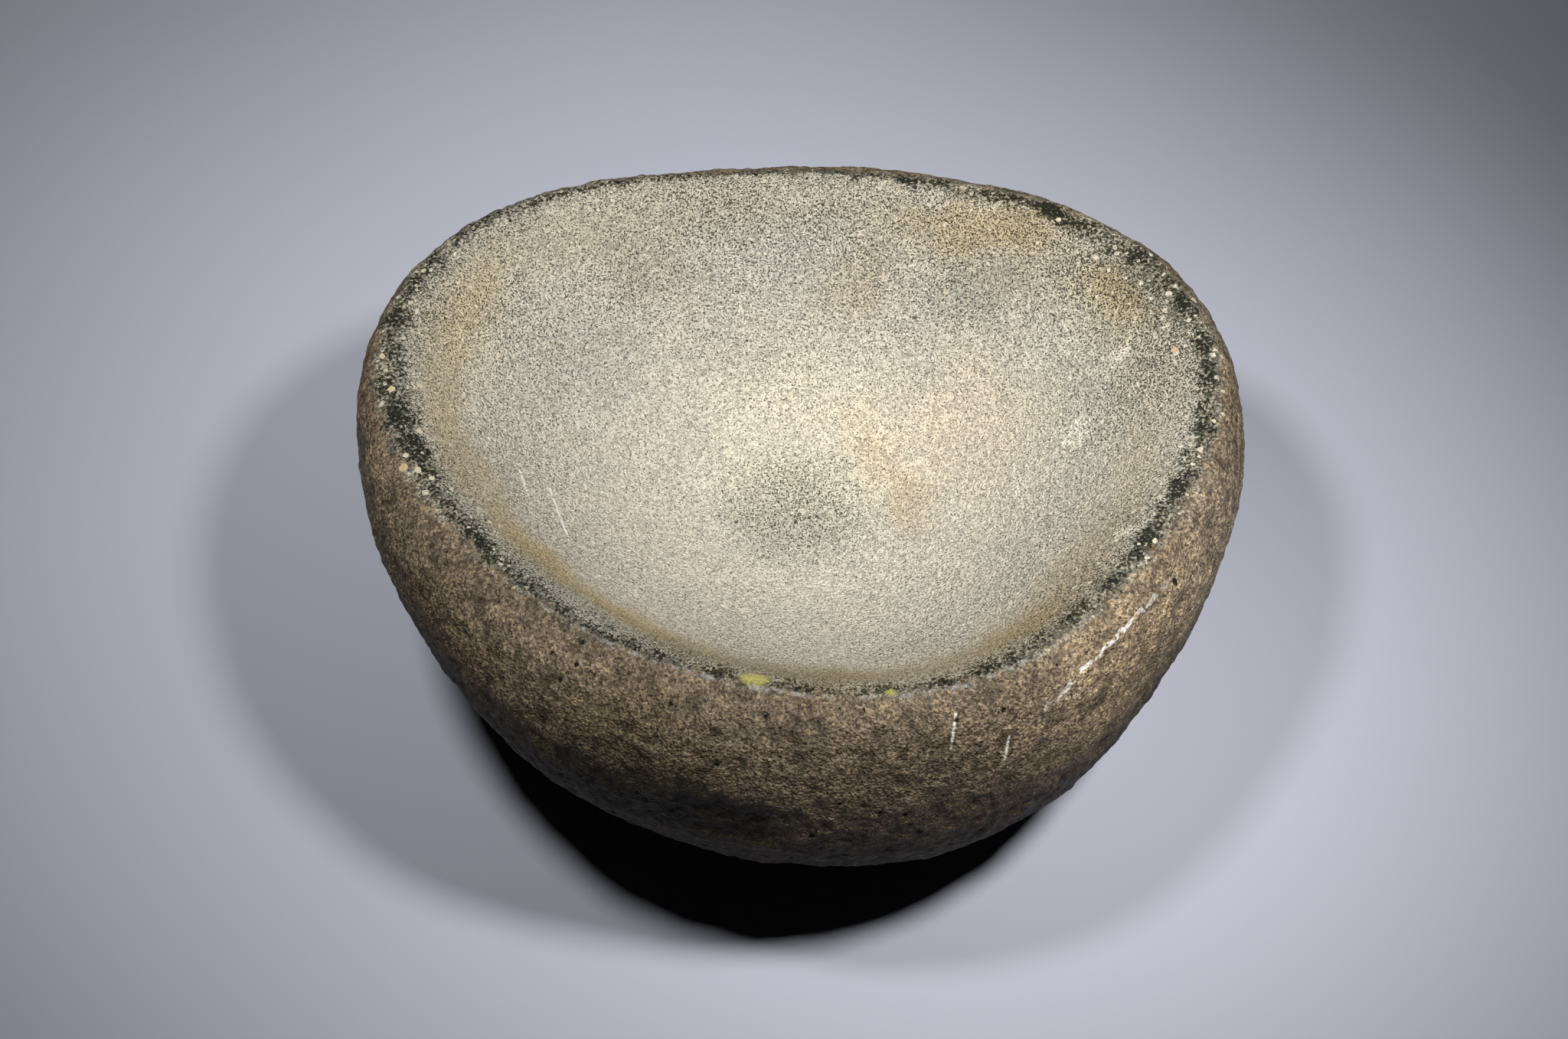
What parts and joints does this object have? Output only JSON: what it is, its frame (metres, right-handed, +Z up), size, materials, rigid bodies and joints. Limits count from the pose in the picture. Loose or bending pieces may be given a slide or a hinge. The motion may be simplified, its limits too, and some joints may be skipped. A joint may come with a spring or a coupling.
{
  "type": "molcajete",
  "caption": "Stone grinding mortar made from one rounded river boulder, with a wide shallow basin worn into its top.",
  "frame": {"origin": "bottom centre of the stone's box, on the surface it stands on", "axes": "+Z up out of the basin, +X to the right along the longer side, +Y to the broad back side"},
  "size_m": [0.2508, 0.2212, 0.1046],
  "materials": {
    "volcanic_stone": "matt weathered boulder skin outside, finely ground pale stone in the basin"
  },
  "bodies": {
    "root": {"mortar_stone": "volcanic_stone"}
  },
  "joints": []
}
